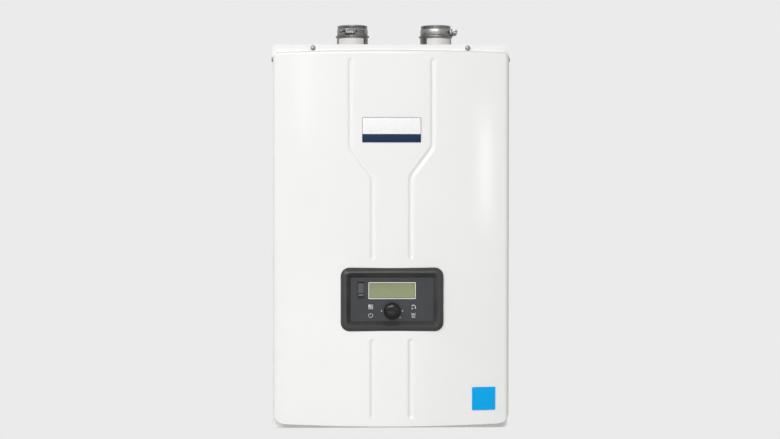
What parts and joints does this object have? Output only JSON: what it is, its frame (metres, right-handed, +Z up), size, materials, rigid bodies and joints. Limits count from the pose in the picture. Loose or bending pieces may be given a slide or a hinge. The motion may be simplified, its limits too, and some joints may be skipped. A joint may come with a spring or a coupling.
{
  "type": "tankless water heater",
  "caption": "Wall-hung tankless gas water heater with a bowed, grooved white cover, a small control unit and two clamped vent collars on top.",
  "frame": {"origin": "centre of the back panel's rear face, which lies on the wall", "axes": "+Z up, -Y out of the wall towards the user, +X to the right seen from the front"},
  "size_m": [0.4742, 0.3376, 0.8428],
  "materials": {
    "black_plastic": "moulded",
    "board_green": "coated board",
    "brass": "machined",
    "cast_alloy": "as cast",
    "ceramic": "glazed",
    "clamp_steel": "bright band steel",
    "collar_steel": "dark satin",
    "copper": "bare copper",
    "display_green": "clear window over a pale green display",
    "foam": "closed-cell foam",
    "glass": "clear",
    "grey_plastic": "fine grain",
    "hose_white": "moulded",
    "panel_plastic": "satin film",
    "stainless": "pressed, bright",
    "white_enamel": "powder coat, satin",
    "zinc_sheet": "zinc-plated sheet"
  },
  "bodies": {
    "casing": {"back_panel": "zinc_sheet", "left_side_panel": "white_enamel", "right_side_panel": "white_enamel", "top_plate": "white_enamel", "bottom_plate": "white_enamel", "front_frame": "white_enamel", "cover_gasket": "foam", "control_bracket": "zinc_sheet", "control_housing": "black_plastic", "control_board": "board_green", "control_panel": "panel_plastic", "display_glass": "display_green", "exhaust_collar": "collar_steel", "intake_collar": "collar_steel", "exhaust_clamp_band": "clamp_steel", "intake_clamp_band": "clamp_steel", "exhaust_duct": "hose_white", "secondary_exchanger": "stainless", "primary_exchanger": "copper", "burner_box": "stainless", "burner_door": "zinc_sheet", "sight_glass": "glass", "spark_electrode": "ceramic", "flame_rod": "ceramic", "fan_housing": "cast_alloy", "fan_motor": "black_plastic", "cold_inlet_nipple": "brass", "hot_outlet_nipple": "brass", "gas_inlet_nipple": "brass", "condensate_drain": "hose_white", "power_gland": "black_plastic", "flow_sensor": "black_plastic", "water_control_valve": "brass", "gas_valve": "cast_alloy", "condensate_trap": "hose_white", "cold_pipe": "copper", "hot_pipe": "copper", "gas_pipe": "brass", "gas_tube": "copper", "condensate_hose": "hose_white", "main_board_case": "black_plastic", "main_board_lid": "black_plastic", "spark_transformer": "black_plastic", "control_harness": "black_plastic"},
    "cover": {"front_cover": "white_enamel", "control_bezel": "grey_plastic", "left_cover_screw": "zinc_sheet", "right_cover_screw": "zinc_sheet", "left_side_screw": "zinc_sheet", "right_side_screw": "zinc_sheet"},
    "dial": {"dial_knob": "black_plastic"},
    "rocker": {"power_rocker": "black_plastic"},
    "menu_button": {"menu_key": "panel_plastic"},
    "power_button": {"power_key": "panel_plastic"},
    "water_button": {"water_key": "panel_plastic"},
    "heat_button": {"heat_key": "panel_plastic"},
    "exhaust_screw": {"exhaust_clamp_screw": "zinc_sheet"},
    "intake_screw": {"intake_clamp_screw": "zinc_sheet"},
    "fan_wheel": {"fan_impeller": "black_plastic"}
  },
  "joints": [
    {"name": "cover_slide", "type": "slide", "parent": "casing", "child": "cover", "axis": [0, -1, 0], "range_m": [0, 0.35]},
    {"name": "dial_turn", "type": "hinge", "parent": "casing", "child": "dial", "pos_m": [0, -0.324, -0.1452], "axis": [0, -1, 0], "continuous": true},
    {"name": "rocker_tilt", "type": "hinge", "parent": "casing", "child": "rocker", "pos_m": [-0.0613, -0.3225, -0.1044], "axis": [1, 0, 0], "range_deg": [-16, 0]},
    {"name": "menu_press", "type": "slide", "parent": "casing", "child": "menu_button", "axis": [0, 1, 0], "range_m": [0, 0.0008], "stiffness_N_per_m": 600},
    {"name": "power_press", "type": "slide", "parent": "casing", "child": "power_button", "axis": [0, 1, 0], "range_m": [0, 0.0008], "stiffness_N_per_m": 600},
    {"name": "water_press", "type": "slide", "parent": "casing", "child": "water_button", "axis": [0, 1, 0], "range_m": [0, 0.0008], "stiffness_N_per_m": 600},
    {"name": "heat_press", "type": "slide", "parent": "casing", "child": "heat_button", "axis": [0, 1, 0], "range_m": [0, 0.0008], "stiffness_N_per_m": 600},
    {"name": "exhaust_clamp_turn", "type": "hinge", "parent": "casing", "child": "exhaust_screw", "pos_m": [-0.0665, -0.1425, 0.4242], "axis": [1, 0, 0], "continuous": true},
    {"name": "intake_clamp_turn", "type": "hinge", "parent": "casing", "child": "intake_screw", "pos_m": [0.1475, -0.105, 0.4242], "axis": [0, 1, 0], "continuous": true},
    {"name": "fan_turn", "type": "hinge", "parent": "casing", "child": "fan_wheel", "pos_m": [-0.05, -0.094, -0.06], "axis": [0, 1, 0], "continuous": true}
  ]
}
